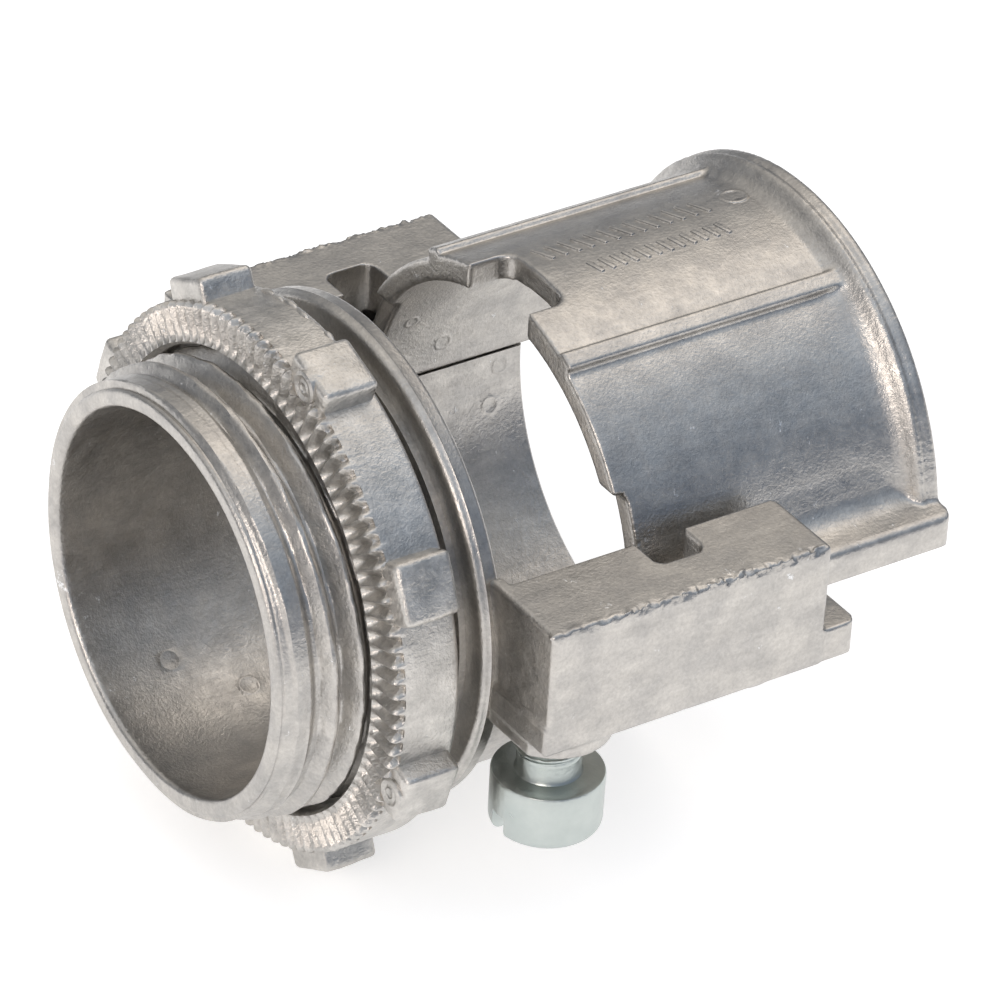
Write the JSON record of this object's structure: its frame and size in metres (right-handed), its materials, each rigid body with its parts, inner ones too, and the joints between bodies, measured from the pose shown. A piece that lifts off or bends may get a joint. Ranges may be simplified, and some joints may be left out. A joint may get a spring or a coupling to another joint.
{
  "type": "conduit clamp connector",
  "caption": "Die-cast clamp connector for flexible metal conduit: threaded hub with flange and lugged locknut, and a sliding saddle tightened by slotted screws.",
  "frame": {"origin": "centre of the bounding box's footprint, on the plane through its lowest point", "axes": "+X along the hub's bore, from the threaded mouth towards the conduit; +Z from the clamp screws' heads towards the saddle; Y across the side blocks"},
  "size_m": [0.0426, 0.041, 0.0342],
  "materials": {
    "zinc_casting": "satin die-cast zinc alloy, bluish grey",
    "zinc_locknut": "satin die-cast zinc alloy, slightly duller and warmer",
    "plated_steel": "bright zinc plating"
  },
  "bodies": {
    "body": {"body": "zinc_casting"},
    "saddle": {"saddle": "zinc_casting"},
    "locknut": {"locknut": "zinc_locknut"},
    "near_screw": {"clamp_screw_near": "plated_steel"},
    "far_screw": {"clamp_screw_far": "plated_steel"}
  },
  "joints": [
    {"name": "saddle_slide", "type": "slide", "parent": "body", "child": "saddle", "axis": [1, 0, 0], "range_m": [-0.0083, 0]},
    {"name": "locknut_turn", "type": "hinge", "parent": "body", "child": "locknut", "pos_m": [-0.01398, 0, 0.01708], "axis": [1, 0, 0], "continuous": true},
    {"name": "near_screw_travel", "type": "slide", "parent": "body", "child": "near_screw", "axis": [0, 0, 1], "range_m": [0, 0.0014]},
    {"name": "far_screw_travel", "type": "slide", "parent": "body", "child": "far_screw", "axis": [0, 0, 1], "range_m": [0, 0.0014]}
  ]
}
